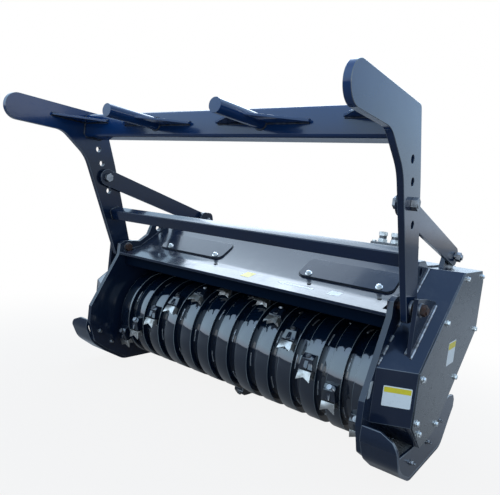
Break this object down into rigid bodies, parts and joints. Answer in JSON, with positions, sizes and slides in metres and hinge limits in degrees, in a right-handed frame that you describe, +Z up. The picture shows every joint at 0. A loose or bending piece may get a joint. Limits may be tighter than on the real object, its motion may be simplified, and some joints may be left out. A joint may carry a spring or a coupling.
{
  "type": "forestry mulcher",
  "caption": "Forestry mulcher head: open-fronted steel housing on skids, toothed ribbed rotor, side covers, and a braced push frame with horns above",
  "frame": {"origin": "on the floor, in the middle of the overall length and width", "axes": "+X along the rotor, -Y out of the open front, +Z up"},
  "size_m": [1.694, 1.386, 1.22],
  "materials": {
    "housing_paint": "gloss paint, worn at the edges",
    "cover_paint": "gloss paint",
    "lid_paint": "gloss paint",
    "rotor_paint": "gloss paint, worn on the crests",
    "frame_paint": "gloss paint",
    "bolt_zinc": "zinc plated",
    "tooth_steel": "ground",
    "bearing_iron": "painted",
    "bare_steel": "satin"
  },
  "bodies": {
    "housing": {"side_plate_left": "housing_paint", "side_plate_right": "housing_paint", "hood": "housing_paint", "rear_wall": "housing_paint", "anvil_bar": "housing_paint", "hatch_left": "housing_paint", "hatch_right": "housing_paint", "pivot_ear_left": "housing_paint", "pivot_ear_right": "housing_paint", "skid_left": "housing_paint", "skid_right": "housing_paint", "adapter_plate": "housing_paint", "adapter_rail": "housing_paint", "adapter_ribs": "housing_paint", "side_cover_left": "cover_paint", "side_cover_right": "cover_paint", "cover_lid_left": "lid_paint", "cover_lid_right": "lid_paint", "pivot_pin_left": "bolt_zinc", "pivot_pin_right": "bolt_zinc", "brace_pin_left": "bolt_zinc", "brace_pin_right": "bolt_zinc", "bearing_left": "bearing_iron", "bearing_right": "bearing_iron", "manifold": "bare_steel"},
    "rotor": {"rotor_drum": "rotor_paint", "tooth_holders": "rotor_paint", "rotor_teeth": "tooth_steel"},
    "push_frame": {"push_arm_left": "frame_paint", "push_arm_right": "frame_paint", "top_beam": "frame_paint", "lower_bar": "frame_paint", "pipe_horn_left": "frame_paint", "pipe_horn_right": "frame_paint", "beam_gussets": "frame_paint", "brace_nut_left": "bolt_zinc", "brace_nut_right": "bolt_zinc"},
    "left_brace": {"brace_left": "frame_paint", "brace_bolt_left": "bolt_zinc"},
    "right_brace": {"brace_right": "frame_paint", "brace_bolt_right": "bolt_zinc"}
  },
  "joints": [
    {"name": "rotor_spin", "type": "hinge", "parent": "housing", "child": "rotor", "pos_m": [0, 0.145, 0.265], "axis": [1, 0, 0], "continuous": true},
    {"name": "push_frame_tilt", "type": "hinge", "parent": "housing", "child": "push_frame", "pos_m": [0, -0.047, 0.6], "axis": [1, 0, 0], "range_deg": [-13.2, 9.1]},
    {"name": "left_brace_turn", "type": "hinge", "parent": "housing", "child": "left_brace", "pos_m": [-0.727, 0.528, 0.766], "axis": [1, 0, 0], "range_deg": [-11.72, 8.23]},
    {"name": "right_brace_turn", "type": "hinge", "parent": "housing", "child": "right_brace", "pos_m": [0.727, 0.528, 0.766], "axis": [1, 0, 0], "range_deg": [-11.72, 8.23]}
  ],
  "couplings": [
    {"joint": "left_brace_turn", "follows": "push_frame_tilt", "ratio": 0.85},
    {"joint": "right_brace_turn", "follows": "push_frame_tilt", "ratio": 0.85}
  ]
}
